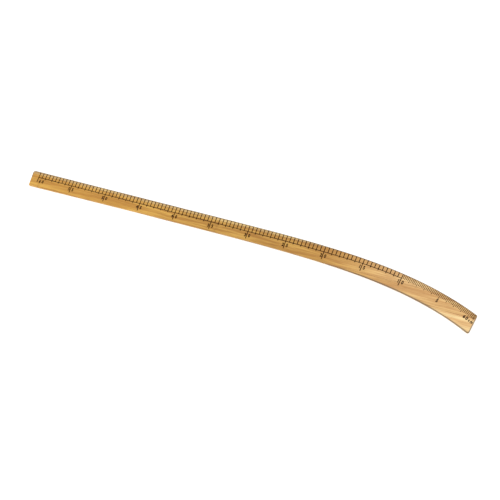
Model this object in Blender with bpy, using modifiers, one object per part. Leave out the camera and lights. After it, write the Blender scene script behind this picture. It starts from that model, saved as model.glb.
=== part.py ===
"""A curved bamboo ruler of 60 cm, as a tailor uses for armholes and hips.

Four bamboo laths are glued edge to edge into a board, and the blade is sawn out of that board, straight at
the 60 end and bent towards the zero end, so that the grain runs parallel to the straight part all the way.
The scale is printed on the upper face along the outer edge, from zero at the bent end to 60.

Places on the face are given as an arc, measured along the outer edge from the 60 mark towards the zero
mark, and an inset, measured square to that edge into the face. Units are metres, with +X along the straight
part towards the zero end, +Y towards the outer edge and +Z up. The origin is under the middle of the
blade's box, on the surface that it lies on.
"""

import math

import bmesh
import bpy
import numpy as np

# The blade's outline
SCALE_LENGTH = 0.600
END_MARGIN = 0.0113
ZERO_TRIM = 0.0016
STRAIGHT_LENGTH = 0.213
END_TURN = math.radians(24.4)
BEND_POWER = 3.1
BLADE_WIDTH = 0.0206
SIXTY_END_WIDTH = 0.0219
ZERO_END_WIDTH = 0.0238
NARROWING_END = 0.145
WIDENING_START = 0.290
WIDENING_POWER = 1.3
ZERO_END_LEAN = math.radians(13.5)
SIXTY_END_LEAN = math.radians(4.8)
OUTER_SIXTY_CORNER = 0.0028
INNER_SIXTY_CORNER = 0.0010
OUTER_ZERO_CORNER = 0.0010
INNER_ZERO_CORNER = 0.0022

# The board that it is sawn from
BLADE_THICKNESS = 0.0035
EDGE_ROUND = 0.0004
LATH_WIDTH = 0.0200
FIRST_JOINT_INSET = 0.0042
GLUE_LINE = 0.0002

# The printed scale
INK_THICKNESS = 0.0001
MARK_MARGIN = 0.0006
COARSE_MARK_WIDTH = 0.0011
FINE_MARK_WIDTH = 0.0007
BASE_LINE_WIDTH = 0.0009
BASE_LINE_INSET = 0.0086
CENTIMETRE_OVERRUN = 0.0017
LONG_MARK_END_MARGIN = 0.0021
SIXTY_MARK_INSET = 0.0155
ZERO_ZONE_MARK_INSET = 0.0082
MARK_TO_NUMERAL = 0.0003

# The numerals and the length. The numerals stand in cells of this share of their height. All characters
# are narrower than their font has them, and their strokes are widened by this share of the font's size.
CELL_WIDTH_SHARE = 0.56
GLYPH_WIDTH_SHARE = 0.80
LENGTH_WIDTH_SHARE = 0.95
GLYPH_BOLDNESS = 0.05
NUMERAL_HEIGHT = 0.0048
LINE_TO_NUMERAL = 0.00225
TENS_CLEARANCE = 0.0001
UNITS_CLEARANCE = 0.00145
SIXTY_CLEARANCE = 0.0021
SIXTY_DIGIT_GAP = 0.0014
LENGTH_HEIGHT = 0.0045
LENGTH_TOP_INSET = 0.0078
LENGTH_PITCH = 0.0036
LENGTH_END_MARGIN = 0.0020
UNIT_HEIGHT = 0.0028

# The print lies a little askew on the blade. Towards zero it comes up to this much nearer the outer edge,
# by shares of the drift given at shares of the scale's length.
MARK_DRIFT = 0.0024
NUMERAL_DRIFT = 0.0030
DRIFT_SHARES = (
    (0.00, 0.25),
    (0.35, 0.00),
    (0.50, 0.02),
    (0.65, 0.25),
    (0.70, 0.45),
    (0.76, 0.85),
    (0.83, 1.00),
    (0.92, 0.75),
)

# Counts along the scale
CENTIMETRES = 60
ZERO_ZONE_CENTIMETRES = 10
LABEL_STEP = 5

# Fineness of the curves, and the working allowances
EDGE_SAMPLES = 6000
BEND_POINTS = 40
CORNER_POINTS = 6
GLYPH_RESOLUTION = 3
ROUND_STEPS = 1
CUT_OVERRUN = 0.005
WELD_DISTANCE = 0.00001

CENTIMETRE = SCALE_LENGTH / CENTIMETRES
HALF_CENTIMETRE = CENTIMETRE / 2
LADDER_HALVES = 2 * (CENTIMETRES - ZERO_ZONE_CENTIMETRES)


def clear_scene():
    for item in list(bpy.data.objects):
        bpy.data.objects.remove(item, do_unlink=True)


def new_collection(name):
    collection = bpy.data.collections.new(name)
    bpy.context.scene.collection.children.link(collection)
    return collection


def new_material(name, colour, roughness):
    material = bpy.data.materials.new(name)
    material.use_nodes = True
    shader = material.node_tree.nodes["Principled BSDF"]
    shader.inputs["Base Color"].default_value = (*colour, 1.0)
    shader.inputs["Roughness"].default_value = roughness
    shader.inputs["Metallic"].default_value = 0.0
    return material


# The outer edge and the face beside it


def heading(arc):
    """Direction of the outer edge: level along the straight part, then turning ever faster."""
    share = np.clip((arc - STRAIGHT_LENGTH) / (SCALE_LENGTH - STRAIGHT_LENGTH), 0, 1)
    return -END_TURN * share**BEND_POWER


def outer_edge():
    """Arcs along the outer edge, and the x and y that their headings add up to from the 60 mark."""
    arcs = np.linspace(0, SCALE_LENGTH, EDGE_SAMPLES + 1)
    middles = (arcs[1:] + arcs[:-1]) / 2
    step = arcs[1] - arcs[0]
    x = np.concatenate([[0], np.cumsum(np.cos(heading(middles)) * step)])
    y = np.concatenate([[0], np.cumsum(np.sin(heading(middles)) * step)])
    return arcs, x, y


EDGE = outer_edge()


def raw_point(arc, inset):
    """A point of the face at this arc and inset, before the origin is moved under the middle."""
    arcs, x, y = EDGE
    on_edge = float(np.clip(arc, 0, SCALE_LENGTH))
    beyond = arc - on_edge
    turn = float(heading(on_edge))
    edge_x = np.interp(on_edge, arcs, x) + beyond * math.cos(turn)
    edge_y = np.interp(on_edge, arcs, y) + beyond * math.sin(turn)
    return np.array([edge_x + inset * math.sin(turn), edge_y - inset * math.cos(turn)])


def blade_width(arc):
    """Tapering a little from the 60 end, then even, then widening to the zero end."""
    narrowing = max((NARROWING_END - arc) / (NARROWING_END + END_MARGIN), 0)
    widening = max((arc - WIDENING_START) / (SCALE_LENGTH - WIDENING_START), 0)
    more_at_sixty = (SIXTY_END_WIDTH - BLADE_WIDTH) * narrowing
    return BLADE_WIDTH + more_at_sixty + (ZERO_END_WIDTH - BLADE_WIDTH) * widening**WIDENING_POWER


def rounded_corner(corner, before, after, radius):
    """Points along the arc of this radius that touches both sides of a corner."""
    back = (before - corner) / np.linalg.norm(before - corner)
    onward = (after - corner) / np.linalg.norm(after - corner)
    half_angle = math.acos(float(np.clip(back @ onward, -1, 1))) / 2
    middle = (back + onward) / np.linalg.norm(back + onward)
    centre = corner + middle * radius / math.sin(half_angle)
    start = corner + back * radius / math.tan(half_angle) - centre
    sweep = math.pi - 2 * half_angle
    side = math.copysign(1, back[0] * onward[1] - back[1] * onward[0])
    points = []
    for step in range(CORNER_POINTS + 1):
        angle = -side * sweep * step / CORNER_POINTS
        turned_x = start[0] * math.cos(angle) - start[1] * math.sin(angle)
        turned_y = start[0] * math.sin(angle) + start[1] * math.cos(angle)
        points.append(centre + np.array([turned_x, turned_y]))
    return points


def blade_outline():
    """The blade's outline, round from the 60 end along the outer edge and back along the inner one."""
    bend = np.linspace(STRAIGHT_LENGTH, SCALE_LENGTH - ZERO_TRIM, BEND_POINTS + 1)
    outer = [raw_point(arc, 0) for arc in bend]
    inner = [raw_point(arc, blade_width(arc)) for arc in bend[::-1]]
    inner.append(raw_point(NARROWING_END, BLADE_WIDTH))
    sixty_outer = raw_point(-END_MARGIN, 0)
    sixty_lean = SIXTY_END_WIDTH * math.tan(SIXTY_END_LEAN)
    sixty_inner = raw_point(sixty_lean - END_MARGIN, SIXTY_END_WIDTH)
    zero_outer = outer[-1]
    zero_lean = ZERO_END_WIDTH * math.tan(ZERO_END_LEAN)
    zero_inner = raw_point(SCALE_LENGTH - ZERO_TRIM + zero_lean, ZERO_END_WIDTH)
    outline = rounded_corner(sixty_outer, sixty_inner, outer[0], OUTER_SIXTY_CORNER)
    outline += outer[:-1]
    outline += rounded_corner(zero_outer, outer[-2], zero_inner, OUTER_ZERO_CORNER)
    outline += rounded_corner(zero_inner, zero_outer, inner[0], INNER_ZERO_CORNER)
    outline += inner
    outline += rounded_corner(sixty_inner, inner[-1], sixty_outer, INNER_SIXTY_CORNER)
    return np.array(outline)


RAW_OUTLINE = blade_outline()
LOWEST, HIGHEST = RAW_OUTLINE.min(axis=0), RAW_OUTLINE.max(axis=0)
MIDDLE = (LOWEST + HIGHEST) / 2


def on_face(arc, inset):
    """A point of the face at this arc and inset, in the part's own frame."""
    return raw_point(arc, inset) - MIDDLE


def drift_share(arc):
    """How much of its drift towards the outer edge the print has at this arc."""
    places, shares = zip(*DRIFT_SHARES)
    return float(np.interp(arc / SCALE_LENGTH, places, shares))


# Making the solids


def add_spline(curve, points, closed):
    spline = curve.splines.new("POLY")
    spline.points.add(len(points) - 1)
    for point, (x, y) in zip(spline.points, points):
        point.co = (x, y, 0, 1)
    spline.use_cyclic_u = closed


def flat_curve(name, outline, thickness, collection):
    """A flat piece of this outline, its underside at the height of its object."""
    curve = bpy.data.curves.new(name, "CURVE")
    curve.dimensions = "2D"
    curve.fill_mode = "BOTH"
    curve.extrude = thickness / 2
    add_spline(curve, outline, True)
    piece = bpy.data.objects.new(name, curve)
    piece.location.z = thickness / 2
    collection.objects.link(piece)
    return piece


def as_mesh(source):
    """A mesh object that takes the place of a curve or text, with its modifiers applied and its caps on."""
    bpy.context.view_layer.update()
    evaluated = source.evaluated_get(bpy.context.evaluated_depsgraph_get())
    mesh = bpy.data.meshes.new_from_object(evaluated)
    shape = bmesh.new()
    shape.from_mesh(mesh)
    bmesh.ops.remove_doubles(shape, verts=shape.verts, dist=WELD_DISTANCE)
    bmesh.ops.recalc_face_normals(shape, faces=shape.faces)
    shape.to_mesh(mesh)
    shape.free()
    name, home, place = source.name, source.users_collection[0], source.location.copy()
    bpy.data.objects.remove(source, do_unlink=True)
    piece = bpy.data.objects.new(name, mesh)
    piece.location = place
    home.objects.link(piece)
    return piece


def as_cutter(shape):
    shape.hide_render = True
    shape.display_type = "WIRE"
    return shape


def add_boolean(piece, name, operation, other):
    cut = piece.modifiers.new(name, "BOOLEAN")
    cut.operation = operation
    cut.solver = "EXACT"
    cut.object = other


def blade_blank(cutters):
    """The whole blade with its rounded edges, which cuts each lath and glue line to shape."""
    curve = flat_curve("blade_blank", RAW_OUTLINE - MIDDLE, BLADE_THICKNESS, cutters)
    curve.data.extrude -= EDGE_ROUND
    curve.data.bevel_depth = EDGE_ROUND
    curve.data.bevel_resolution = ROUND_STEPS
    curve.data.offset = -EDGE_ROUND
    return as_cutter(as_mesh(curve))


def board_strip(name, outer_inset, width, blank, material, collection):
    """The part of the blade in one strip of the board, parallel to the straight part."""
    length = HIGHEST[0] - LOWEST[0] + 2 * CUT_OVERRUN
    height = BLADE_THICKNESS + 2 * CUT_OVERRUN
    outer_y = -outer_inset - MIDDLE[1]
    bpy.ops.mesh.primitive_cube_add(size=1, location=(0, 0, 0))
    strip = bpy.context.object
    strip.name = name
    strip.data.name = name
    for vertex in strip.data.vertices:
        vertex.co.x *= length
        vertex.co.y = outer_y if vertex.co.y > 0 else outer_y - width
        vertex.co.z = vertex.co.z * height + BLADE_THICKNESS / 2
    for home in list(strip.users_collection):
        home.objects.unlink(strip)
    collection.objects.link(strip)
    add_boolean(strip, "sawn to the blade", "INTERSECT", blank)
    strip.data.materials.append(material)
    return strip


def add_laths_and_glue(blank, bamboo, glue, collection):
    """The laths from the outer edge inwards, with a glue line in each joint."""
    above_edge = LATH_WIDTH - FIRST_JOINT_INSET
    names = ("edge_lath", "main_lath", "inner_lath", "tip_lath")
    for place, name in enumerate(names):
        outer = place * LATH_WIDTH - above_edge
        width = LATH_WIDTH - GLUE_LINE
        if place == len(names) - 1:
            width = max(width, HIGHEST[1] - LOWEST[1] - outer + CUT_OVERRUN)
        board_strip(name, outer, width, blank, bamboo[place], collection)
        if place:
            glue_name = "glue_line_" + name.split("_")[0]
            board_strip(glue_name, outer - GLUE_LINE, GLUE_LINE, blank, glue, collection)


# The printed marks


def ink_piece(piece, material):
    piece.location.z += BLADE_THICKNESS
    piece.data.materials.append(material)


def add_flat_mark(name, outline, ink, collection):
    ink_piece(as_mesh(flat_curve(name, outline, INK_THICKNESS, collection)), ink)


def base_line_inset(arc):
    return BASE_LINE_INSET - MARK_DRIFT * drift_share(arc)


def mark_end(half):
    """Inset of the inner end of the mark at this many half centimetres from the 60 mark."""
    arc = half * HALF_CENTIMETRE
    nominal = BASE_LINE_INSET + CENTIMETRE_OVERRUN
    if half == 0:
        nominal = SIXTY_MARK_INSET
    elif half % (2 * LABEL_STEP) == 0:
        nominal = BLADE_WIDTH - LONG_MARK_END_MARGIN
    return nominal - MARK_DRIFT * drift_share(arc)


def numeral_top(arc):
    """Inset of the numerals' upper side at this arc."""
    return BASE_LINE_INSET + BASE_LINE_WIDTH / 2 + LINE_TO_NUMERAL - NUMERAL_DRIFT * drift_share(arc)


def printed_lines(name, lines, width, collection):
    """Flat lines of ink of one width, each a ribbon on edge that is thickened sideways."""
    curve = bpy.data.curves.new(name, "CURVE")
    curve.dimensions = "2D"
    curve.fill_mode = "NONE"
    curve.extrude = INK_THICKNESS / 2
    for line in lines:
        add_spline(curve, line, False)
    piece = bpy.data.objects.new(name, curve)
    piece.location.z = INK_THICKNESS / 2
    collection.objects.link(piece)
    thicken = piece.modifiers.new("width", "SOLIDIFY")
    thicken.thickness = width
    thicken.offset = 0
    thicken.use_even_offset = True
    return as_mesh(piece)


def add_scale_ladder(ink, cutters, collection):
    """The base line and its marks, which stand on its outer side, the centimetre marks passing through it."""
    half_mark = COARSE_MARK_WIDTH / 2
    arcs = [half * HALF_CENTIMETRE for half in range(0, LADDER_HALVES + 1, 2)]
    arcs = [arcs[0] - half_mark, *arcs[1:-1], arcs[-1] + half_mark]
    base_line = [on_face(arc, base_line_inset(arc)) for arc in arcs]
    marks = []
    for half in range(LADDER_HALVES + 1):
        arc = half * HALF_CENTIMETRE
        inner = mark_end(half) if half % 2 == 0 else base_line_inset(arc)
        marks.append([on_face(arc, MARK_MARGIN), on_face(arc, inner)])
    ladder = printed_lines("scale_ladder", [base_line], BASE_LINE_WIDTH, collection)
    rungs = as_cutter(printed_lines("ladder_marks", marks, COARSE_MARK_WIDTH, cutters))
    ink_piece(ladder, ink)
    ink_piece(rungs, ink)
    add_boolean(ladder, "marks joined on", "UNION", rungs)


def add_zero_zone_marks(ink, collection):
    """The separate centimetre marks between the ladder and the zero end."""
    half_mark = FINE_MARK_WIDTH / 2
    for centimetre in range(ZERO_ZONE_CENTIMETRES):
        arc = SCALE_LENGTH - centimetre * CENTIMETRE
        outer, inner = MARK_MARGIN, ZERO_ZONE_MARK_INSET
        if centimetre == 0:
            arc -= ZERO_TRIM + MARK_MARGIN + half_mark
            outer += OUTER_ZERO_CORNER
        if centimetre == 1:
            inner = LENGTH_TOP_INSET - MARK_TO_NUMERAL
        if centimetre == LABEL_STEP:
            inner = numeral_top(arc) - MARK_TO_NUMERAL
        corners = ((-1, outer), (1, outer), (1, inner), (-1, inner))
        outline = [on_face(arc + side * half_mark, inset) for side, inset in corners]
        add_flat_mark(f"centimetre_mark_{centimetre}", outline, ink, collection)


def bold_character(name, character, collection):
    """A character with widened strokes, as a curve. Points that all but coincide would cross when they are
    moved outwards, so they are brought together first."""
    text = bpy.data.curves.new(name, "FONT")
    text.body = character
    glyph = bpy.data.objects.new(name, text)
    collection.objects.link(glyph)
    bpy.ops.object.select_all(action="DESELECT")
    glyph.select_set(True)
    bpy.context.view_layer.objects.active = glyph
    bpy.ops.object.convert(target="CURVE")
    for spline in glyph.data.splines:
        points = list(spline.bezier_points)
        for before, point in zip(points[-1:] + points[:-1], points):
            if (point.co - before.co).length < GLYPH_BOLDNESS / 2:
                point.co = before.co
                point.handle_left = before.co
                before.handle_right = before.co
    glyph.data.extrude = INK_THICKNESS / 2
    glyph.data.resolution_u = GLYPH_RESOLUTION
    glyph.data.offset = GLYPH_BOLDNESS
    return glyph


def add_glyph(name, character, place, turn, height, width_share, ink, collection):
    """One printed character of this height, narrower than its font has it, centred on a place of the face."""
    glyph = as_mesh(bold_character(name, character, collection))
    points = np.array([vertex.co[:] for vertex in glyph.data.vertices])
    low, high = points.min(axis=0), points.max(axis=0)
    scale = height / (high[1] - low[1])
    for vertex in glyph.data.vertices:
        vertex.co.x = (vertex.co.x - (low[0] + high[0]) / 2) * scale * width_share
        vertex.co.y = (vertex.co.y - (low[1] + high[1]) / 2) * scale
    glyph.location = (place[0], place[1], INK_THICKNESS / 2)
    glyph.rotation_euler.z = turn
    ink_piece(glyph, ink)


def add_numerals(ink, collection):
    """The numerals, each pair of digits on the two sides of its long mark, and 60 beside its own."""
    for centimetre in range(LABEL_STEP, CENTIMETRES + 1, LABEL_STEP):
        arc = SCALE_LENGTH - centimetre * CENTIMETRE
        inset = numeral_top(arc) + NUMERAL_HEIGHT / 2
        turn = float(heading(arc))
        along = np.array([math.cos(turn), math.sin(turn)])
        name, digits = f"numeral_{centimetre}", str(centimetre)
        if len(digits) == 1:
            place = on_face(arc, inset)
            add_glyph(name, digits, place, turn, NUMERAL_HEIGHT, GLYPH_WIDTH_SHARE, ink, collection)
            continue
        cell = NUMERAL_HEIGHT * CELL_WIDTH_SHARE
        tens = -COARSE_MARK_WIDTH / 2 - TENS_CLEARANCE - cell / 2
        units = COARSE_MARK_WIDTH / 2 + UNITS_CLEARANCE + cell / 2
        if centimetre == CENTIMETRES:
            tens = COARSE_MARK_WIDTH / 2 + SIXTY_CLEARANCE + cell / 2
            units = tens + cell + SIXTY_DIGIT_GAP
        for part, digit, offset in (("_tens", digits[0], tens), ("_units", digits[1], units)):
            place = on_face(arc, inset) + along * offset
            add_glyph(name + part, digit, place, turn, NUMERAL_HEIGHT, GLYPH_WIDTH_SHARE, ink, collection)


def add_length_label(ink, collection):
    """The whole length, printed just inside the zero end."""
    names = ("unit_m", "unit_c", "length_units", "length_tens")
    characters = "mc" + str(CENTIMETRES)[::-1]
    turn = float(heading(SCALE_LENGTH - LENGTH_END_MARGIN - 2 * LENGTH_PITCH))
    for order, (name, character) in enumerate(zip(names, characters)):
        arc = SCALE_LENGTH - LENGTH_END_MARGIN - order * LENGTH_PITCH
        height, width_share = UNIT_HEIGHT, GLYPH_WIDTH_SHARE
        if character.isdigit():
            height, width_share = LENGTH_HEIGHT, LENGTH_WIDTH_SHARE
        inset = LENGTH_TOP_INSET + LENGTH_HEIGHT - height / 2
        place = on_face(arc, inset)
        add_glyph(name, character, place, turn, height, width_share, ink, collection)


def build():
    clear_scene()
    ruler = new_collection("bamboo_ruler")
    cutters = new_collection("cutters")
    bamboo = (
        new_material("edge_bamboo", (0.62, 0.36, 0.11), 0.45),
        new_material("main_bamboo", (0.60, 0.34, 0.10), 0.45),
        new_material("inner_bamboo", (0.58, 0.36, 0.14), 0.45),
        new_material("tip_bamboo", (0.78, 0.56, 0.30), 0.45),
    )
    glue = new_material("dried_glue", (0.30, 0.17, 0.06), 0.5)
    ink = new_material("scale_ink", (0.035, 0.018, 0.01), 0.6)
    blank = blade_blank(cutters)
    add_laths_and_glue(blank, bamboo, glue, ruler)
    add_scale_ladder(ink, cutters, ruler)
    add_zero_zone_marks(ink, ruler)
    add_numerals(ink, ruler)
    add_length_label(ink, ruler)


build()
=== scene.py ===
"""The looks of a curved bamboo ruler of 60 cm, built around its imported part.

The blade is sawn out of a board of glued bamboo laths, and a scale is printed along its outer edge.

Units are metres. The part's frame has +X along the blade's straight part towards the zero end, +Y towards
the outer edge and +Z up, with the origin under the middle of the blade's box. A place on the face is an
arc, measured along the outer edge from the 60 mark, and an inset, measured square to that edge.
"""

import math

import bmesh
import bpy
import numpy as np
from mathutils import Matrix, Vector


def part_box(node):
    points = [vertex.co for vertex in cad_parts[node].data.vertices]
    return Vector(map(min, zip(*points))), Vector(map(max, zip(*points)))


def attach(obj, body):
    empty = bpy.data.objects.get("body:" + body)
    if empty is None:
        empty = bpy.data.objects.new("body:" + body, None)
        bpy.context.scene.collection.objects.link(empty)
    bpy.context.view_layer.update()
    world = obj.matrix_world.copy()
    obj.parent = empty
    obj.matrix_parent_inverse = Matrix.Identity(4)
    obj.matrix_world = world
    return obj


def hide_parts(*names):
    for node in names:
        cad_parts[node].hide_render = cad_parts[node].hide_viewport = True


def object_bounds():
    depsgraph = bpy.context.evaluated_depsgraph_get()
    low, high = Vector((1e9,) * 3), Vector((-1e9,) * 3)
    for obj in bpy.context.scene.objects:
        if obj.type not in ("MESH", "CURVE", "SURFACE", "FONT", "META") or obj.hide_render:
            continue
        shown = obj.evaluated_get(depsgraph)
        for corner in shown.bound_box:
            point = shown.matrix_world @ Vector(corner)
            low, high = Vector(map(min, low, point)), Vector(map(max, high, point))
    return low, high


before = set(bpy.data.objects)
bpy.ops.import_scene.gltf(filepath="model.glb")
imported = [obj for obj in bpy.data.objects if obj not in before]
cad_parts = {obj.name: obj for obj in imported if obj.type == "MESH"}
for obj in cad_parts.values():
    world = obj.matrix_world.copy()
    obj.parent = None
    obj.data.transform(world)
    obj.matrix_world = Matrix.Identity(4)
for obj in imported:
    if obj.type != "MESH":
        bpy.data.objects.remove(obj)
CAD_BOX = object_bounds()

MM = 0.001

# The blade's outline, as the part has it
SCALE_LENGTH = 600 * MM
END_MARGIN = 11.3 * MM
ZERO_TRIM = 1.6 * MM
STRAIGHT_LENGTH = 213 * MM
END_TURN = math.radians(24.4)
BEND_POWER = 3.1
BLADE_WIDTH = 20.6 * MM
SIXTY_END_WIDTH = 21.9 * MM
ZERO_END_WIDTH = 23.8 * MM
NARROWING_END = 145 * MM
WIDENING_START = 290 * MM
WIDENING_POWER = 1.3
ZERO_END_LEAN = math.radians(13.5)
SIXTY_END_LEAN = math.radians(4.8)
OUTER_SIXTY_CORNER = 2.8 * MM
INNER_SIXTY_CORNER = 1.0 * MM
OUTER_ZERO_CORNER = 1.0 * MM
INNER_ZERO_CORNER = 2.2 * MM
BLADE_THICKNESS = 3.5 * MM
EDGE_ROUND = 0.4 * MM
OUTLINE_SLACK = 0.001 * MM

# The printed scale, as the part has it
MARK_MARGIN = 0.6 * MM
COARSE_MARK_WIDTH = 1.1 * MM
BASE_LINE_WIDTH = 0.9 * MM
BASE_LINE_INSET = 8.6 * MM
CENTIMETRE_OVERRUN = 1.7 * MM
LONG_MARK_END_INSET = 18.5 * MM
SIXTY_MARK_INSET = 15.5 * MM
MARK_DRIFT = 2.4 * MM
LONG_MARK_STEP = 5
DRIFT_SHARES = (
    (0, 0.25),
    (0.35, 0),
    (0.5, 0.02),
    (0.65, 0.25),
    (0.7, 0.45),
    (0.76, 0.85),
    (0.83, 1),
    (0.92, 0.75),
)
CENTIMETRE = 10 * MM
ZERO_ZONE_START = 500 * MM
GLYPH_BOLDNESS = 0.05

# The fine marks between the last ten centimetres, which the part leaves out
FINE_MARK_STEP = 2 * MM
FINE_MARK_WIDTH = 0.75 * MM
LAST_MARK_WIDTH = 1.0 * MM
FINE_MARK_INSET = 6.5 * MM
MARKS_PER_CENTIMETRE = 5

# The surface of the bamboo and of the ink
PLANING_WAVE = 0.012 * MM
GLUE_SINK = 0.05 * MM
EDGE_WEAR_SHARE = 0.5
# Darkening of the sawn edges: a band along the outer edge, and painted shade on the inner edge towards
# zero, where its side wall faces away from the light
EDGE_TONE_REACH = 1.5 * MM
EDGE_BAND_AND_SHADE_SHARE = 0.9
INNER_SHADE_START = 70 * MM
INNER_SHADE_GROWTH = 90 * MM
INK_FILM = 0.03 * MM
INK_SINK = 0.02 * MM
INK_RAGGEDNESS = 0.03 * MM

# Tones of the bamboo, along the blade and across it
DULL_REACH = (20 * MM, 190 * MM)
DULLING = (0.85, 0.84, 0.85, 1.0)
EDGE_DULLING = (0.97, 0.98, 0.98, 1.0)
# painted light: over this reach the bamboo turns paler towards the zero end, as where more light falls
PAINTED_LIGHT_START = 105 * MM
PAINTED_LIGHT_END = 225 * MM
RING_BEND = 5 * MM
RING_REACH = 0.6 * MM
HALO_REACH = 4.5 * MM
FIBRE_RELIEF = 0.06 * MM

# The studio
FLOOR_GLOW = 0.5
FLOOR_SIDE = 8.0
WORLD_LIGHT = 0.75

# Fineness of the meshes
OUTLINE_POINTS = 500
CORNER_POINTS = 20
STATION_STEP = 3 * MM
ROUND_STEPS = 5
MIDDLE_COLUMNS = 7
INK_STEP = 0.5 * MM
GLYPH_RESOLUTION = 6
WELD = 0.001 * MM
SMOOTH_BELOW = math.radians(40)
EDGE_SAMPLES = 6001
POINTS_AT_ONCE = 2000
PRINT_PLACES = 2001

# The camera, as fitted to the photograph
CAMERA_AZIMUTH = math.radians(39.666)
CAMERA_ELEVATION = math.radians(65.503)
CAMERA_ROLL = math.radians(-22.378)
CAMERA_DISTANCE = 1112.47 * MM
CAMERA_OFFSET = (-9.39 * MM, 4.17 * MM)
AIM = (300 * MM, -30 * MM)
IMAGE_SIDE = 500
FOCAL_PIXELS = 897.125
SENSOR = 36


# The outline


def heading(arc):
    """Direction of the outer edge: level along the straight part, then turning as a power of the arc."""
    share = np.clip((arc - STRAIGHT_LENGTH) / (SCALE_LENGTH - STRAIGHT_LENGTH), 0, 1)
    return -END_TURN * share**BEND_POWER


def outer_edge():
    """Arcs along the outer edge, and x and y as the running sums of the cosine and sine of the heading."""
    arcs = np.linspace(0, SCALE_LENGTH, EDGE_SAMPLES)
    turns = heading((arcs[1:] + arcs[:-1]) / 2)
    step = arcs[1] - arcs[0]
    x = np.concatenate([[0], np.cumsum(np.cos(turns) * step)])
    y = np.concatenate([[0], np.cumsum(np.sin(turns) * step)])
    return arcs, x, y


EDGE = outer_edge()


def raw_points(arc, inset):
    """Points of the face at these arcs and insets, measured from the 60 mark on the outer edge."""
    arc, inset = np.broadcast_arrays(np.asarray(arc, float), np.asarray(inset, float))
    on_edge = np.clip(arc, 0, SCALE_LENGTH)
    turn = heading(on_edge)
    x = np.interp(on_edge, EDGE[0], EDGE[1]) + (arc - on_edge) * np.cos(turn) + inset * np.sin(turn)
    y = np.interp(on_edge, EDGE[0], EDGE[2]) + (arc - on_edge) * np.sin(turn) - inset * np.cos(turn)
    return np.stack([x, y], axis=-1)


def blade_width(arc):
    """The width falls in a line from the 60 end, stays even, then grows by a power of the arc."""
    narrowing = np.maximum((NARROWING_END - arc) / (NARROWING_END + END_MARGIN), 0)
    widening = np.maximum((arc - WIDENING_START) / (SCALE_LENGTH - WIDENING_START), 0)
    more_at_sixty = (SIXTY_END_WIDTH - BLADE_WIDTH) * narrowing
    return BLADE_WIDTH + more_at_sixty + (ZERO_END_WIDTH - BLADE_WIDTH) * widening**WIDENING_POWER


def corner_arc(corner, before, after, radius):
    """The arc of this radius that touches both sides of a corner, turned about its centre in even steps."""
    back = (before - corner) / np.linalg.norm(before - corner)
    onward = (after - corner) / np.linalg.norm(after - corner)
    half_angle = math.acos(float(np.clip(back @ onward, -1, 1))) / 2
    middle = (back + onward) / np.linalg.norm(back + onward)
    centre = corner + middle * radius / math.sin(half_angle)
    start = corner + back * radius / math.tan(half_angle) - centre
    side = math.copysign(1, back[0] * onward[1] - back[1] * onward[0])
    angles = -side * (math.pi - 2 * half_angle) * np.linspace(0, 1, CORNER_POINTS)
    x = start[0] * np.cos(angles) - start[1] * np.sin(angles)
    y = start[0] * np.sin(angles) + start[1] * np.cos(angles)
    return centre + np.stack([x, y], axis=-1)


def end_corners():
    """The blade's corners before they are rounded: outer and inner at 60, then outer and inner at zero."""
    sixty_shift = SIXTY_END_WIDTH * math.tan(SIXTY_END_LEAN)
    zero_shift = ZERO_END_WIDTH * math.tan(ZERO_END_LEAN)
    zero_arc = SCALE_LENGTH - ZERO_TRIM
    arcs = (-END_MARGIN, sixty_shift - END_MARGIN, zero_arc, zero_arc + zero_shift)
    return raw_points(arcs, (0, SIXTY_END_WIDTH, 0, ZERO_END_WIDTH))


def blade_outline():
    """The outline, out along the outer edge and back along the inner one, with an arc at each corner."""
    sixty_outer, sixty_inner, zero_outer, zero_inner = end_corners()
    arcs = np.linspace(0, SCALE_LENGTH - 2 * OUTER_ZERO_CORNER, OUTLINE_POINTS)
    outer = raw_points(arcs, 0)
    inner = raw_points(arcs, blade_width(arcs))[::-1]
    return np.concatenate([
        corner_arc(sixty_outer, sixty_inner, outer[0], OUTER_SIXTY_CORNER),
        outer,
        corner_arc(zero_outer, outer[-1], zero_inner, OUTER_ZERO_CORNER),
        corner_arc(zero_inner, zero_outer, inner[0], INNER_ZERO_CORNER),
        inner,
        corner_arc(sixty_inner, inner[-1], sixty_outer, INNER_SIXTY_CORNER),
    ])


RAW_OUTLINE = blade_outline()
MIDDLE = (RAW_OUTLINE.min(axis=0) + RAW_OUTLINE.max(axis=0)) / 2
BOX_LOW, BOX_HIGH = (np.array(corner)[:2] for corner in CAD_BOX)
OUTLINE = np.clip(RAW_OUTLINE - MIDDLE, BOX_LOW + OUTLINE_SLACK, BOX_HIGH - OUTLINE_SLACK)


def on_face(arc, inset):
    """Points of the face in the part's frame."""
    return raw_points(arc, inset) - MIDDLE


def distance_inside(points):
    """How far each point is from the outline, as the least distance to any of its sides."""
    start, along = OUTLINE, np.roll(OUTLINE, -1, axis=0) - OUTLINE
    flat = points.reshape(-1, 2)
    best = np.full(len(flat), np.inf)
    for first in range(0, len(flat), POINTS_AT_ONCE):
        some = slice(first, first + POINTS_AT_ONCE)
        gap = flat[some, None] - start
        share = np.clip((gap * along).sum(axis=-1) / (along**2).sum(axis=-1), 0, 1)
        away = gap - share[..., None] * along
        best[some] = np.sqrt((away**2).sum(axis=-1).min(axis=1))
    return best.reshape(points.shape[:-1])


# The surface


def planing_wave(points):
    """How far planing and sanding took the face down: a few long waves that never rise above it."""
    x, y = points[..., 0], points[..., 1]
    waves = np.sin(61 * x + 40 * y) + np.sin(113 * x - 95 * y + 1.3) + np.sin(23 * x + 210 * y + 0.4)
    return PLANING_WAVE * (3 - waves) / 6


def edge_radius(points):
    """The rounding of the sawn edges, larger where handling has worn them."""
    x = points[..., 0]
    wear = np.sin(37 * x + 0.7) * np.sin(91 * x) + 0.5 * np.sin(233 * x + 2)
    return EDGE_ROUND * (1 + EDGE_WEAR_SHARE * np.clip(wear, 0, 1))


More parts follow.
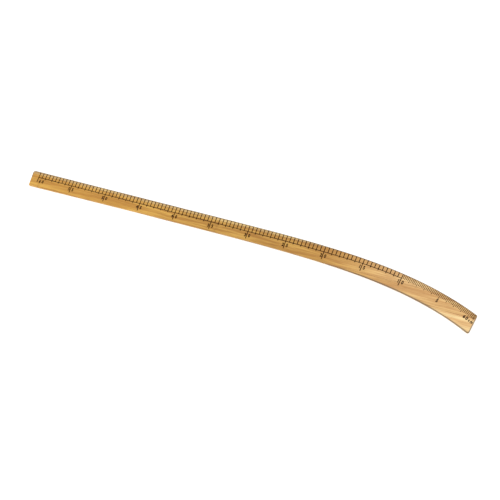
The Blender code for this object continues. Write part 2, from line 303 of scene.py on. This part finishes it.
def edge_drop(points, depth):
    """How far the face has fallen at this distance inside the outline, by a quarter circle."""
    radius = edge_radius(points)
    short = radius - np.minimum(depth, radius)
    return radius - np.sqrt(np.maximum(radius**2 - short**2, 0))


def face_height(points):
    """Height of the face: the thickness less what planing took down."""
    return BLADE_THICKNESS - planing_wave(points)


# Making meshes


def new_piece(name, points, faces, slot, material, *nodes):
    """A mesh object in the part's frame that stands for these nodes and has this material; the slot is not
    used.
    """
    mesh = bpy.data.meshes.new(name)
    mesh.from_pydata(points.reshape(-1, 3).tolist(), [], faces)
    return finished(name, mesh, slot, material, *nodes)


def finished(name, mesh, slot, material, *nodes):
    """A mesh made into a piece: welded, facing outwards, smooth but for its sharp edges, given its
    material, put under the root body, and standing in for the nodes, which are hidden.
    """
    shape = bmesh.new()
    shape.from_mesh(mesh)
    bmesh.ops.remove_doubles(shape, verts=shape.verts, dist=WELD)
    bmesh.ops.recalc_face_normals(shape, faces=shape.faces)
    shape.to_mesh(mesh)
    shape.free()
    mesh.shade_smooth()
    mesh.set_sharp_from_angle(angle=SMOOTH_BELOW)
    mesh.materials.append(material)
    piece = bpy.data.objects.new(name, mesh)
    bpy.context.scene.collection.objects.link(piece)
    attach(piece, "root")
    if nodes:
        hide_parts(*nodes)
    return piece


def tube_faces(tubes, rings, around):
    """Faces of separate tubes, each of so many rings of so many points, closed by a face at both ends."""
    ring, place = np.meshgrid(np.arange(rings - 1), np.arange(around), indexing="ij")
    after = (place + 1) % around
    this_ring, next_ring = ring * around, (ring + 1) * around
    corners = (this_ring + place, this_ring + after, next_ring + after, next_ring + place)
    sides = np.stack(corners, axis=-1).reshape(-1, 4)
    first = np.arange(around)[::-1]
    last = (rings - 1) * around + np.arange(around)
    faces = []
    for tube in range(tubes):
        start = tube * rings * around
        faces += (sides + start).tolist() + [(first + start).tolist(), (last + start).tolist()]
    return faces


# The laths and their glue lines


def crossings(upper, lower):
    """Where the outline crosses each line from an upper to a lower point, as shares of that line.

    A side of the outline crosses a line where the cross products of its two ends with the line differ in
    sign, at the share of the side that makes the cross product zero.
    """
    line = lower - upper
    gap = OUTLINE - upper[:, None]
    side = line[:, None, 0] * gap[..., 1] - line[:, None, 1] * gap[..., 0]
    after = np.roll(side, -1, axis=1)
    crossed = side * after < 0
    share = np.where(crossed, side / np.where(crossed, side - after, 1), 0)
    place = gap + share[..., None] * (np.roll(gap, -1, axis=1) - gap)
    along = (place * line[:, None]).sum(axis=-1) / (line**2).sum(axis=-1)[:, None]
    return np.where(crossed, along, np.inf).min(axis=1), np.where(crossed, along, -np.inf).max(axis=1)


def x_at(first, second, y):
    """Where the line through two points reaches this y."""
    return first[0] + (second[0] - first[0]) * (y - first[1]) / (second[1] - first[1])


def edge_x_at(inset_of, y):
    """Where the outer or the inner edge comes down to this y."""
    arcs = np.linspace(0, SCALE_LENGTH - ZERO_TRIM, OUTLINE_POINTS * 4)
    edge = on_face(arcs, inset_of(arcs))
    return float(np.interp(-y, -edge[:, 1], edge[:, 0]))


def station_shares(length):
    """Shares of a lath's length: close together at both ends, where the rounding is, and even between."""
    angles = np.linspace(0, math.pi / 2, ROUND_STEPS + 1)
    near = EDGE_ROUND * (1 - np.cos(angles))
    near = np.concatenate([near + WELD, np.geomspace(2 * EDGE_ROUND, 4 * STATION_STEP, 12)])
    count = int(length / STATION_STEP)
    even = np.linspace(near[-1], length - near[-1], count)[1:-1]
    return np.concatenate([near, even, length - near[::-1]]) / length


def lath_rings(top, bottom, thickness):
    """Rings across the part of the blade between two lines along the grain.

    A station is a line from the lath's upper to its lower side. It starts upright at a lath's pointed end
    or along the blade's sawn end, and leans over evenly towards the other end. The outline cuts it short.
    Points stand on it at the sines of even angles near both sides and evenly between, and their height
    falls by a quarter circle with their distance from the outline.
    """
    sixty_outer, sixty_inner, zero_outer, zero_inner = end_corners() - MIDDLE
    starts_at_sixty = top > sixty_inner[1]
    ends_at_zero = bottom < zero_outer[1]
    if starts_at_sixty:
        start = [x_at(sixty_outer, sixty_inner, y) for y in (top, bottom)]
    else:
        start = [edge_x_at(blade_width, top)] * 2
    if ends_at_zero:
        end = [x_at(zero_outer, zero_inner, y) for y in (top, bottom)]
    else:
        end = [edge_x_at(np.zeros_like, bottom)] * 2
    shares = station_shares(max(end) - min(start))
    upper_x = start[0] + shares * (end[0] - start[0])
    lower_x = start[1] + shares * (end[1] - start[1])
    upper = np.stack([upper_x, np.full_like(shares, top)], axis=-1)
    lower = np.stack([lower_x, np.full_like(shares, bottom)], axis=-1)
    outer_share, inner_share = crossings(upper, lower)
    outer_share, inner_share = np.maximum(outer_share, 0), np.minimum(inner_share, 1)
    kept = inner_share > outer_share
    upper, lower = upper[kept], lower[kept]
    first = upper + (lower - upper) * outer_share[kept, None]
    last = upper + (lower - upper) * inner_share[kept, None]
    width = np.linalg.norm(last - first, axis=1)
    angles = np.linspace(0, math.pi / 2, ROUND_STEPS + 1)
    rounded = np.minimum(EDGE_ROUND * (1 + EDGE_WEAR_SHARE), width / 2)
    near = rounded[:, None] * (1 - np.cos(angles)) / width[:, None]
    middle = np.linspace(near[:, -1], 1 - near[:, -1], MIDDLE_COLUMNS + 2, axis=1)[:, 1:-1]
    across = np.concatenate([near, middle, 1 - near[:, ::-1]], axis=1)
    place = first[:, None] + (last - first)[:, None] * across[..., None]
    depth = distance_inside(place)
    drop = edge_drop(place, depth)
    face = thickness - planing_wave(place) - drop
    back = planing_wave(-place) + drop
    rings = np.concatenate([
        np.concatenate([place, face[..., None]], axis=-1),
        np.concatenate([place, back[..., None]], axis=-1)[:, ::-1],
    ], axis=1)
    return rings, np.concatenate([depth, depth[:, ::-1]], axis=1)


def edge_stain(places):
    """How dark the nearest sawn edge is: a band all along the outer one, and painted shade towards zero
    along the inner one.
    """
    arcs = np.linspace(0, SCALE_LENGTH, OUTLINE_POINTS)
    edge = on_face(arcs, 0)
    below_outer = np.interp(places[:, 0], edge[:, 0], edge[:, 1]) - places[:, 1]
    # painted shade on the inner edge, growing towards the zero end
    inner_shade = np.clip((places[:, 0] - INNER_SHADE_START) / INNER_SHADE_GROWTH, 0, 1)
    return np.where(below_outer < BLADE_WIDTH / 2, 1, inner_shade)


def add_strip(name, node, top, bottom, thickness, slot, material):
    """A lath or glue line, with the darkening of its sawn edges, a band on the outer and painted shade on
    the inner, kept as an attribute for the material.
    """
    rings, depth = lath_rings(top, bottom, thickness)
    piece = new_piece(name, rings, tube_faces(1, *rings.shape[:2]), slot, material, node)
    points = np.empty(len(piece.data.vertices) * 3, np.float32)
    piece.data.vertices.foreach_get("co", points)
    points = points.reshape(-1, 3).astype(float)
    places = points[:, :2]
    # the outer edge's band and the inner edge's painted shade, strongest at the top of the edge and gone a
    # little way inside
    height_share = np.clip(points[:, 2] / thickness, 0, 1)
    tone = height_share * edge_stain(places) * (1 - np.clip(distance_inside(places) / EDGE_TONE_REACH, 0, 1))
    attribute = piece.data.attributes.new("edge_band_and_shade_tone", "FLOAT", "POINT")
    attribute.data.foreach_set("value", tone.astype(np.float32))


def add_board(laths, glue):
    """Four laths from the outer edge inwards and the glue line in each joint, between the part's joints."""
    names = ("edge_lath", "main_lath", "inner_lath", "tip_lath")
    joints = [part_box("glue_line_" + name.split("_")[0]) for name in names[1:]]
    margin = 1 * MM
    tops = [OUTLINE[:, 1].max() + margin] + [low.y for low, high in joints]
    bottoms = [high.y for low, high in joints] + [OUTLINE[:, 1].min() - margin]
    for name, top, bottom in zip(names, tops, bottoms):
        slot = name.split("_")[0] + "_bamboo"
        add_strip("bamboo_" + name, name, top, bottom, BLADE_THICKNESS, slot, laths[slot])
    for name, (low, high) in zip(names[1:], joints):
        node = "glue_line_" + name.split("_")[0]
        add_strip("dried_" + node, node, high.y, low.y, BLADE_THICKNESS - GLUE_SINK, "dried_glue", glue)


# The print


def drift(arc):
    """How far the print has wandered towards the outer edge at this arc."""
    places, shares = zip(*DRIFT_SHARES)
    return MARK_DRIFT * np.interp(arc / SCALE_LENGTH, places, shares)


def film_points(centres, sides, half_widths, random):
    """Rings of a film of ink along lines, given their centre points, side directions and half widths.

    Each ring has its two foot points a little inside the wood, its two shoulders and its crown above it.
    Both edges wander a little, as ink does on grain.
    """
    reach = np.array([-1, -0.9, 0, 0.9, 1])
    lift = np.array([-INK_SINK, 0.7 * INK_FILM, INK_FILM, 0.7 * INK_FILM, -INK_SINK])
    ragged = random.normal(0, INK_RAGGEDNESS / 2, (*half_widths.shape, 2))
    left, right = half_widths + ragged[..., 0], half_widths + ragged[..., 1]
    across = np.where(reach < 0, left[..., None], right[..., None]) * reach
    place = centres[..., None, :] + sides[..., None, :] * across[..., None]
    height = face_height(place) + lift
    return np.concatenate([place, height[..., None]], axis=-1)


def straight_marks(starts, ends, width, random):
    """Films of ink along straight lines from each start to its end, in steps up to the ink step."""
    length = np.linalg.norm(ends - starts, axis=-1)
    rings = int(length.max() / INK_STEP) + 2
    shares = np.linspace(0, 1, rings)[None, :, None]
    centres = starts[:, None] + (ends - starts)[:, None] * shares
    along = (ends - starts) / length[:, None]
    sides = np.stack([-along[:, 1], along[:, 0]], axis=-1)[:, None] * np.ones((1, rings, 1))
    return film_points(centres, sides, np.full((len(starts), rings), width / 2), random)


def joined(parts):
    """Points and faces of several sets of tubes as one mesh."""
    points, faces, start = [], [], 0
    for tubes in parts:
        count, rings, around = tubes.shape[:3]
        faces += [[index + start for index in face] for face in tube_faces(count, rings, around)]
        points.append(tubes.reshape(-1, 3))
        start += count * rings * around
    return np.concatenate(points), faces


def add_ladder(ink, random):
    """The base line and its marks from 60 to 10, every second one a centimetre mark that passes through."""
    halves = np.arange(0, ZERO_ZONE_START / (CENTIMETRE / 2) + 0.5)
    arcs = halves * CENTIMETRE / 2
    line_inset = BASE_LINE_INSET - drift(arcs)
    rungs = straight_marks(on_face(arcs, MARK_MARGIN), on_face(arcs, line_inset), COARSE_MARK_WIDTH, random)
    whole = arcs[::2]
    ends = np.full(len(whole), BASE_LINE_INSET + CENTIMETRE_OVERRUN)
    ends[::LONG_MARK_STEP] = LONG_MARK_END_INSET
    ends[0] = SIXTY_MARK_INSET
    short = np.arange(len(whole)) % LONG_MARK_STEP != 0
    parts = [rungs]
    for group in (short, ~short):
        starts = on_face(whole[group], line_inset[::2][group])
        stops = on_face(whole[group], (ends - drift(whole))[group])
        parts.append(straight_marks(starts, stops, COARSE_MARK_WIDTH, random))
    for part in parts:
        part[..., 2] -= 0.1 * INK_FILM
    line_arcs = np.arange(-COARSE_MARK_WIDTH / 2, ZERO_ZONE_START + COARSE_MARK_WIDTH / 2, INK_STEP)
    centres = on_face(line_arcs, BASE_LINE_INSET - drift(line_arcs))
    turns = heading(line_arcs)
    sides = np.stack([-np.sin(turns), np.cos(turns)], axis=-1)
    widths = np.full(len(line_arcs), BASE_LINE_WIDTH / 2)
    parts.append(film_points(centres[None], sides[None], widths[None], random))
    points, faces = joined(parts)
    new_piece("printed_ladder", points, faces, "scale_ink", ink, "scale_ladder")


def turned(points, angle):
    """Points turned about the origin, by the sine and cosine of the angle."""
    cosine, sine = math.cos(angle), math.sin(angle)
    x, y = points[..., 0], points[..., 1]
    return np.stack([x * cosine - y * sine, x * sine + y * cosine], axis=-1)


def print_place(node):
    """A printed node's turn, and the lowest and highest corners of its box once it is turned level."""
    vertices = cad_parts[node].data.vertices
    points = np.empty(len(vertices) * 3, np.float32)
    vertices.foreach_get("co", points)
    points = points.reshape(-1, 3)[:, :2].astype(float)
    centre = (points.min(axis=0) + points.max(axis=0)) / 2
    arcs = np.linspace(0, SCALE_LENGTH, PRINT_PLACES)
    nearest = np.linalg.norm(on_face(arcs, 0) - centre, axis=1).argmin()
    turn = float(heading(arcs[nearest]))
    level = turned(points, -turn)
    return turn, level.min(axis=0), level.max(axis=0)


def add_centimetre_marks(ink, random):
    """The separate centimetre marks near the zero end, each along the middle of its node's box."""
    for node in sorted(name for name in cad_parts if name.startswith("centimetre_mark")):
        turn, low, high = print_place(node)
        middle = (low[0] + high[0]) / 2
        ends = turned(np.array([[middle, high[1]], [middle, low[1]]]), turn)
        tubes = straight_marks(ends[:1], ends[1:], high[0] - low[0], random)
        new_piece("printed_" + node, tubes, tube_faces(*tubes.shape[:3]), "scale_ink", ink, node)


def add_fine_marks(ink, random):
    """The short marks between the centimetre marks near the zero end, heavier in the last centimetre.

    The first of them is left out, because the zero mark stands in its place beside the trimmed end.
    """
    places = np.arange(2, (SCALE_LENGTH - ZERO_ZONE_START) / FINE_MARK_STEP - 0.5)
    places = places[places % MARKS_PER_CENTIMETRE != 0]
    groups = (
        ("printed_last_marks", LAST_MARK_WIDTH, places < MARKS_PER_CENTIMETRE),
        ("printed_fine_marks", FINE_MARK_WIDTH, places > MARKS_PER_CENTIMETRE),
    )
    for name, width, chosen in groups:
        arcs = SCALE_LENGTH - FINE_MARK_STEP * places[chosen]
        starts, ends = on_face(arcs, MARK_MARGIN), on_face(arcs, FINE_MARK_INSET)
        tubes = straight_marks(starts, ends, width, random)
        new_piece(name, tubes, tube_faces(*tubes.shape[:3]), "scale_ink", ink)


def bold_character(name, character):
    """A character with widened strokes, as a curve. Points that all but coincide would cross when they are
    moved outwards, so they are brought together first."""
    text = bpy.data.curves.new(name, "FONT")
    text.body = character
    glyph = bpy.data.objects.new(name, text)
    bpy.context.scene.collection.objects.link(glyph)
    bpy.ops.object.select_all(action="DESELECT")
    glyph.select_set(True)
    bpy.context.view_layer.objects.active = glyph
    bpy.ops.object.convert(target="CURVE")
    for spline in glyph.data.splines:
        points = list(spline.bezier_points)
        for before, point in zip(points[-1:] + points[:-1], points):
            if (point.co - before.co).length < GLYPH_BOLDNESS / 2:
                point.co = before.co
                point.handle_left = before.co
                before.handle_right = before.co
    glyph.data.extrude = 1
    glyph.data.resolution_u = GLYPH_RESOLUTION
    glyph.data.offset = GLYPH_BOLDNESS
    return glyph


def add_character(node, character, ink):
    """A printed character that fills its node's box, as a film that follows the face."""
    source = bold_character(node + "_outline", character)
    bpy.context.view_layer.update()
    mesh = bpy.data.meshes.new_from_object(source.evaluated_get(bpy.context.evaluated_depsgraph_get()))
    bpy.data.objects.remove(source)
    points = np.empty(len(mesh.vertices) * 3, np.float32)
    mesh.vertices.foreach_get("co", points)
    points = points.reshape(-1, 3).astype(float)
    turn, low, high = print_place(node)
    glyph_low, glyph_high = points[:, :2].min(axis=0), points[:, :2].max(axis=0)
    level = low + (points[:, :2] - glyph_low) / (glyph_high - glyph_low) * (high - low)
    place = turned(level, turn)
    height = face_height(place) + np.where(points[:, 2] > 0, INK_FILM, -INK_SINK)
    mesh.vertices.foreach_set("co", np.column_stack([place, height]).astype(np.float32).ravel())
    finished("printed_" + node, mesh, "scale_ink", ink, node)


def add_characters(ink):
    """The numerals along the scale and the length beside the zero end."""
    for centimetres in range(10, 61, 5):
        tens, units = str(centimetres)
        add_character(f"numeral_{centimetres}_tens", tens, ink)
        add_character(f"numeral_{centimetres}_units", units, ink)
    add_character("numeral_5", "5", ink)
    for node, character in (("length_tens", "6"), ("length_units", "0"), ("unit_c", "c"), ("unit_m", "m")):
        add_character(node, character, ink)


# Materials


def wire(tree, kind, sockets, **settings):
    """A new node with these settings, its sockets set to values or joined to other nodes' outputs."""
    node = tree.nodes.new(kind)
    for name, value in settings.items():
        setattr(node, name, value)
    for name, value in sockets.items():
        if isinstance(value, bpy.types.NodeSocket):
            tree.links.new(value, node.inputs[name])
        else:
            node.inputs[name].default_value = value
    return node


def new_material(name):
    """A material with its node tree and its shader."""
    material = bpy.data.materials.new(name)
    material.use_nodes = True
    return material, material.node_tree, material.node_tree.nodes["Principled BSDF"]


def stretched_noise(tree, shift, scales, detail, distortion=0.0):
    """Noise whose cells are one part in each scale long along X, Y and Z, in metres."""
    place = wire(tree, "ShaderNodeTexCoord", {}).outputs["Object"]
    mapped = wire(tree, "ShaderNodeMapping", {"Vector": place, "Location": shift, "Scale": scales})
    noise = wire(tree, "ShaderNodeTexNoise", {
        "Vector": mapped.outputs["Vector"],
        "Scale": 1.0,
        "Detail": detail,
        "Roughness": 0.55,
        "Distortion": distortion,
    })
    return noise.outputs["Fac"]


def ramp(tree, value, low, high, to_low=0.0, to_high=1.0):
    """A value brought from one range to another, smoothly and without going past its ends."""
    node = wire(tree, "ShaderNodeMapRange", {
        "Value": value, "From Min": low, "From Max": high, "To Min": to_low, "To Max": to_high,
    }, interpolation_type="SMOOTHSTEP")
    return node.outputs["Result"]


def math_node(tree, operation, first, second=0.0):
    """The result of a sum on two values or sockets."""
    return wire(tree, "ShaderNodeMath", {0: first, 1: second}, operation=operation).outputs[0]


def mixed(tree, factor, first, second, blend="MIX"):
    """Two colours mixed by a factor."""
    node = wire(tree, "ShaderNodeMix", {0: factor, 6: first, 7: second}, data_type="RGBA", blend_type=blend)
    return node.outputs[2]


def colour(red, green, blue):
    """A colour as it looks, from 0 to 255, turned into the linear values that a shader takes."""
    shares = np.array([red, green, blue]) / 255
    linear = np.where(shares <= 0.04045, shares / 12.92, ((shares + 0.055) / 1.055) ** 2.4)
    return (*linear.tolist(), 1.0)


def along_blade(tree, x, dulling, tone, lit_tone):
    """A tone that is duller by the middle of the blade and, as painted light, turns paler towards the zero
    end.
    """
    dull = ramp(tree, math_node(tree, "ABSOLUTE", x), DULL_REACH[0], DULL_REACH[1], 1.0, 0.0)
    duller = mixed(tree, dull, tone, dulling, "MULTIPLY")
    # painted light: the paler tone towards the zero end
    return mixed(tree, ramp(tree, x, PAINTED_LIGHT_START, PAINTED_LIGHT_END), duller, lit_tone)


def ring_distance(tree, x, shift, ring_start, ring_step):
    """Distance along X from the nearest of the rings, whose lines a little noise bends."""
    bend = stretched_noise(tree, shift, (30, 260, 260), 2)
    along = math_node(tree, "ADD", x, math_node(tree, "MULTIPLY", bend, RING_BEND))
    shifted = math_node(tree, "SUBTRACT", along, ring_start - ring_step / 2)
    sockets = {0: shifted, 1: ring_step, 2: 0.0}
    wrapped = wire(tree, "ShaderNodeMath", sockets, operation="WRAP").outputs[0]
    return math_node(tree, "ABSOLUTE", math_node(tree, "SUBTRACT", wrapped, ring_step / 2))


def bamboo(name, sixty_tones, zero_tones, dulling, shift, ring_start, ring_step):
    """Planed bamboo: fibres along X as stretched noise, dark bundles, broad bands of tone, and node rings.

    The light and the dark tone are given for both ends of the blade; the paler ones at the zero end are
    painted light. A ring is a thin dark line across the grain with a soft halo. The sawn edges are darker:
    a band all along the outer one, and painted shade on the inner one towards zero.
    """
    material, tree, shader = new_material(name)
    broad = stretched_noise(tree, shift, (7, 120, 120), 3, 0.4)
    streaks = stretched_noise(tree, shift, (22, 460, 460), 4, 0.3)
    bundles = stretched_noise(tree, shift, (45, 1700, 1700), 3)
    pores = stretched_noise(tree, shift, (180, 5200, 5200), 2)
    place = wire(tree, "ShaderNodeTexCoord", {}).outputs["Object"]
    x = wire(tree, "ShaderNodeSeparateXYZ", {"Vector": place}).outputs["X"]
    light, dark = (along_blade(tree, x, dulling, *tones) for tones in zip(sixty_tones, zero_tones))
    deep = mixed(tree, 1.0, dark, (0.5, 0.42, 0.34, 1.0), "MULTIPLY")
    tone = mixed(tree, ramp(tree, broad, 0.36, 0.64, 0.0, 0.7), light, dark)
    streaked = mixed(tree, ramp(tree, streaks, 0.42, 0.62, 0.0, 0.85), tone, dark)
    bundled = mixed(tree, ramp(tree, bundles, 0.54, 0.68, 0.0, 0.55), streaked, deep)
    flecked = mixed(tree, ramp(tree, pores, 0.35, 0.75, 0.0, 0.2), bundled, light)
    away = ring_distance(tree, x, shift, ring_start, ring_step)
    haloed = mixed(tree, ramp(tree, away, 0.0, HALO_REACH, 0.16, 0.0), flecked, deep)
    ringed = mixed(tree, ramp(tree, away, 0.0, RING_REACH, 0.25, 0.0), haloed, deep)
    edge = wire(tree, "ShaderNodeAttribute", {}, attribute_name="edge_band_and_shade_tone").outputs["Fac"]
    # darker sawn edges: a band along the outer one, painted shade on the inner one towards zero
    with_edge_shade = mixed(tree, ramp(tree, edge, 0.0, 1.0, 0.0, EDGE_BAND_AND_SHADE_SHARE), ringed, EDGE_BAND_AND_SHADE)
    tree.links.new(with_edge_shade, shader.inputs["Base Color"])
    tree.links.new(ramp(tree, bundles, 0.3, 0.8, 0.3, 0.46), shader.inputs["Roughness"])
    shader.inputs["Specular IOR Level"].default_value = 0.35
    sunk = math_node(tree, "MULTIPLY", bundles, -0.7)
    relief = math_node(tree, "ADD", sunk, math_node(tree, "MULTIPLY", pores, 0.3))
    bump = wire(tree, "ShaderNodeBump", {"Strength": 0.35, "Distance": FIBRE_RELIEF, "Height": relief})
    tree.links.new(bump.outputs["Normal"], shader.inputs["Normal"])
    return material


def printing_ink():
    """Dark brown ink that thins over the fibres, so that a little of the bamboo shows through."""
    material, tree, shader = new_material("printing_ink")
    fibres = stretched_noise(tree, (0.3, 0.1, 0.2), (40, 2200, 2200), 3)
    patches = stretched_noise(tree, (0.1, 0.4, 0.2), (160, 300, 300), 2)
    patchy = ramp(tree, patches, 0.3, 0.7, 0.4, 1.0)
    thin = math_node(tree, "MULTIPLY", ramp(tree, fibres, 0.45, 0.75), patchy)
    tree.links.new(mixed(tree, thin, colour(38, 11, 2), colour(82, 39, 9)), shader.inputs["Base Color"])
    tree.links.new(ramp(tree, fibres, 0.2, 0.8, 0.5, 0.7), shader.inputs["Roughness"])
    shader.inputs["Specular IOR Level"].default_value = 0.03
    bump = wire(tree, "ShaderNodeBump", {"Strength": 0.3, "Distance": 0.02 * MM, "Height": fibres})
    tree.links.new(bump.outputs["Normal"], shader.inputs["Normal"])
    return material


def dried_glue():
    """Glue gone amber in the joint, with darker stretches."""
    material, tree, shader = new_material("dried_glue")
    patches = stretched_noise(tree, (0.2, 0.1, 0.5), (70, 900, 900), 3)
    amber = mixed(tree, ramp(tree, patches, 0.3, 0.7), colour(156, 106, 52), colour(108, 66, 30))
    tree.links.new(amber, shader.inputs["Base Color"])
    tree.links.new(ramp(tree, patches, 0.2, 0.8, 0.35, 0.5), shader.inputs["Roughness"])
    return material


def pale_floor():
    """A pale floor that the camera and reflections see nearly white, and that still takes shadows."""
    material, tree, shader = new_material("pale_floor")
    tree.nodes.remove(shader)
    output = tree.nodes["Material Output"]
    grain = stretched_noise(tree, (0, 0, 0), (40, 40, 40), 2)
    paint = mixed(tree, ramp(tree, grain, 0.3, 0.7), colour(232, 232, 232), colour(236, 236, 236))
    diffuse = wire(tree, "ShaderNodeBsdfDiffuse", {"Color": paint}).outputs[0]
    glow = wire(tree, "ShaderNodeEmission", {"Color": (1, 1, 1, 1), "Strength": FLOOR_GLOW}).outputs[0]
    lit = wire(tree, "ShaderNodeAddShader", {0: diffuse, 1: glow}).outputs[0]
    chosen = wire(tree, "ShaderNodeMixShader", {0: seen_directly(tree), 1: diffuse, 2: lit}).outputs[0]
    tree.links.new(chosen, output.inputs["Surface"])
    return material


def seen_directly(tree):
    """One for rays from the camera, off gloss or through glass, and zero for light that only scatters."""
    path = wire(tree, "ShaderNodeLightPath", {})
    shiny = math_node(tree, "MAXIMUM", path.outputs["Is Glossy Ray"], path.outputs["Is Transmission Ray"])
    return math_node(tree, "MAXIMUM", path.outputs["Is Camera Ray"], shiny)


# The studio


def add_floor():
    """The pale floor that the blade lies on."""
    bpy.ops.mesh.primitive_plane_add(size=FLOOR_SIDE, location=(0, 0, 0))
    floor = bpy.context.object
    floor.name = "floor"
    floor.data.materials.append(pale_floor())


def add_world():
    """White where it is seen directly, and plain soft light for everything else."""
    world = bpy.data.worlds.new("studio")
    bpy.context.scene.world = world
    world.use_nodes = True
    tree = world.node_tree
    strength = ramp(tree, seen_directly(tree), 0.0, 1.0, WORLD_LIGHT, 1.0)
    background = tree.nodes["Background"]
    background.inputs["Color"].default_value = (1, 1, 1, 1)
    tree.links.new(strength, background.inputs["Strength"])


def add_soft_box(name, place, target, side, power):
    """A square lamp at a place, turned by the two angles of its direction to face its target."""
    light = bpy.data.lights.new(name, "AREA")
    light.shape = "SQUARE"
    light.size = side
    light.energy = power
    lamp = bpy.data.objects.new(name, light)
    bpy.context.scene.collection.objects.link(lamp)
    lamp.location = place
    direction = np.array(target) - np.array(place)
    lamp.rotation_euler = (
        math.atan2(math.hypot(direction[0], direction[1]), -direction[2]),
        0,
        math.atan2(direction[0], -direction[1]) + math.pi,
    )


def add_camera():
    """The photograph's camera: turned by azimuth, elevation and roll about the point it aims past."""
    azimuth, elevation, roll = CAMERA_AZIMUTH, CAMERA_ELEVATION, CAMERA_ROLL
    look = np.array([
        -math.sin(azimuth) * math.cos(elevation),
        math.cos(azimuth) * math.cos(elevation),
        -math.sin(elevation),
    ])
    level_right = np.array([math.cos(azimuth), math.sin(azimuth), 0])
    level_up = np.cross(level_right, look)
    right = math.cos(roll) * level_right + math.sin(roll) * level_up
    up = -math.sin(roll) * level_right + math.cos(roll) * level_up
    aim = np.array([*(np.array(AIM) - MIDDLE), BLADE_THICKNESS])
    place = aim - right * CAMERA_OFFSET[0] - up * CAMERA_OFFSET[1] - look * CAMERA_DISTANCE
    data = bpy.data.cameras.new("camera")
    data.sensor_width = SENSOR
    data.lens = SENSOR * FOCAL_PIXELS / IMAGE_SIDE
    camera = bpy.data.objects.new("camera", data)
    bpy.context.scene.collection.objects.link(camera)
    turn = np.eye(4)
    turn[:3, 0], turn[:3, 1], turn[:3, 2], turn[:3, 3] = right, up, -look, place
    camera.matrix_world = Matrix(turn)
    bpy.context.scene.camera = camera


add_camera()
# colour of the darker band along the outer edge and of the painted shade on the inner edge
EDGE_BAND_AND_SHADE = colour(90, 76, 58)
GOLD = (colour(230, 180, 86), colour(180, 122, 46))
PALE_GOLD = (colour(230, 194, 124), colour(180, 138, 84))
# The zero-end tones of the edge, main and inner laths are painted light: their gold as it looks where more
# light falls
STRAW_PAINTED_LIGHT = (colour(246, 206, 140), colour(206, 153, 87))
TAN_PAINTED_LIGHT = (colour(238, 194, 122), colour(194, 136, 70))
CREAM = (colour(252, 220, 156), colour(228, 175, 108))
LATHS = {
    "edge_bamboo": bamboo("edge_bamboo", PALE_GOLD, STRAW_PAINTED_LIGHT, EDGE_DULLING, (0.10, 0.2, 0.3), -0.21, 0.247),
    "main_bamboo": bamboo("main_bamboo", GOLD, STRAW_PAINTED_LIGHT, DULLING, (0.37, 0.6, 0.1), -0.03, 0.255),
    "inner_bamboo": bamboo("inner_bamboo", GOLD, TAN_PAINTED_LIGHT, DULLING, (0.71, 0.3, 0.5), 0.14, 0.262),
    "tip_bamboo": bamboo("tip_bamboo", CREAM, CREAM, DULLING, (0.93, 0.8, 0.7), 0.4, 0.27),
}
INK = printing_ink()
RANDOM = np.random.default_rng(60)
add_board(LATHS, dried_glue())
add_ladder(INK, RANDOM)
add_centimetre_marks(INK, RANDOM)
add_fine_marks(INK, RANDOM)
add_characters(INK)
add_floor()
add_world()
add_soft_box("key", (0.2, 0.3, 1.0), (0.2, 0, 0), 0.45, 1.9)
add_soft_box("fill", (-0.45, -0.45, 0.6), (-0.2, 0, 0), 0.4, 1.6)

bpy.context.scene.view_settings.view_transform = "Standard"
